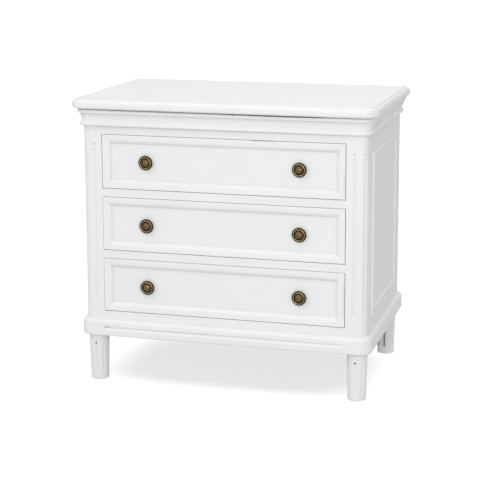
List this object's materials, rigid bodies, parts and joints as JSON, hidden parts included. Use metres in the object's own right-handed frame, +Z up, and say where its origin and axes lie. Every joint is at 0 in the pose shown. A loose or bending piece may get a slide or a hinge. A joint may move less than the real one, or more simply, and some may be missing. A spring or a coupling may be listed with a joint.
{
  "type": "nightstand",
  "caption": "White-painted nightstand with full-width inset drawers on wooden runners, antique brass knobs, moulded cornice and base, fluted posts and tapered fluted legs.",
  "frame": {"origin": "on the floor, under the middle of the overall box", "axes": "+X to the right seen from the front, +Y from the drawer fronts to the back, +Z up"},
  "size_m": [0.762, 0.471, 0.714],
  "materials": {
    "painted_wood": "brushed satin white paint, rubbed through to the wood on some edges",
    "bare_wood": "bare planed softwood",
    "thin_panel": "thin bare plywood",
    "antique_brass": "dark aged brass, brighter on the raised bead",
    "steel": "zinc-plated steel"
  },
  "bodies": {
    "case": {"top_board": "painted_wood", "cornice_front": "painted_wood", "base_front": "painted_wood", "front_top_rail": "painted_wood", "divider_rail_upper": "painted_wood", "divider_rail_lower": "painted_wood", "divider_rail_bottom": "painted_wood", "front_apron": "painted_wood", "cornice_left": "painted_wood", "cornice_right": "painted_wood", "base_left": "painted_wood", "base_right": "painted_wood", "post_front_left": "painted_wood", "post_front_right": "painted_wood", "post_back_left": "painted_wood", "post_back_right": "painted_wood", "leg_front_left": "painted_wood", "leg_front_right": "painted_wood", "leg_back_left": "painted_wood", "leg_back_right": "painted_wood", "side_panel_left": "painted_wood", "side_panel_right": "painted_wood", "side_moulding_crosspieces_left": "painted_wood", "side_moulding_crosspieces_right": "painted_wood", "side_moulding_uprights_left": "painted_wood", "side_moulding_uprights_right": "painted_wood", "back_top_rail": "bare_wood", "back_bottom_rail": "bare_wood", "drawer_stops": "bare_wood", "top_cleats": "bare_wood", "runner_bottom_left": "bare_wood", "runner_bottom_right": "bare_wood", "runner_middle_left": "bare_wood", "runner_middle_right": "bare_wood", "runner_top_left": "bare_wood", "runner_top_right": "bare_wood", "back_panel": "thin_panel", "bottom_panel": "thin_panel", "leg_bolts": "steel"},
    "drawer_bottom": {"drawer_bottom_front": "painted_wood", "drawer_bottom_side_left": "bare_wood", "drawer_bottom_side_right": "bare_wood", "drawer_bottom_back": "bare_wood", "drawer_bottom_bottom": "thin_panel", "drawer_bottom_knobs": "antique_brass", "drawer_bottom_knob_screws": "steel"},
    "drawer_middle": {"drawer_middle_front": "painted_wood", "drawer_middle_side_left": "bare_wood", "drawer_middle_side_right": "bare_wood", "drawer_middle_back": "bare_wood", "drawer_middle_bottom": "thin_panel", "drawer_middle_knobs": "antique_brass", "drawer_middle_knob_screws": "steel"},
    "drawer_top": {"drawer_top_front": "painted_wood", "drawer_top_side_left": "bare_wood", "drawer_top_side_right": "bare_wood", "drawer_top_back": "bare_wood", "drawer_top_bottom": "thin_panel", "drawer_top_knobs": "antique_brass", "drawer_top_knob_screws": "steel"}
  },
  "joints": [
    {"name": "drawer_bottom_slide", "type": "slide", "parent": "case", "child": "drawer_bottom", "axis": [0, -1, 0], "range_m": [0, 0.3]},
    {"name": "drawer_middle_slide", "type": "slide", "parent": "case", "child": "drawer_middle", "axis": [0, -1, 0], "range_m": [0, 0.3]},
    {"name": "drawer_top_slide", "type": "slide", "parent": "case", "child": "drawer_top", "axis": [0, -1, 0], "range_m": [0, 0.3]}
  ]
}
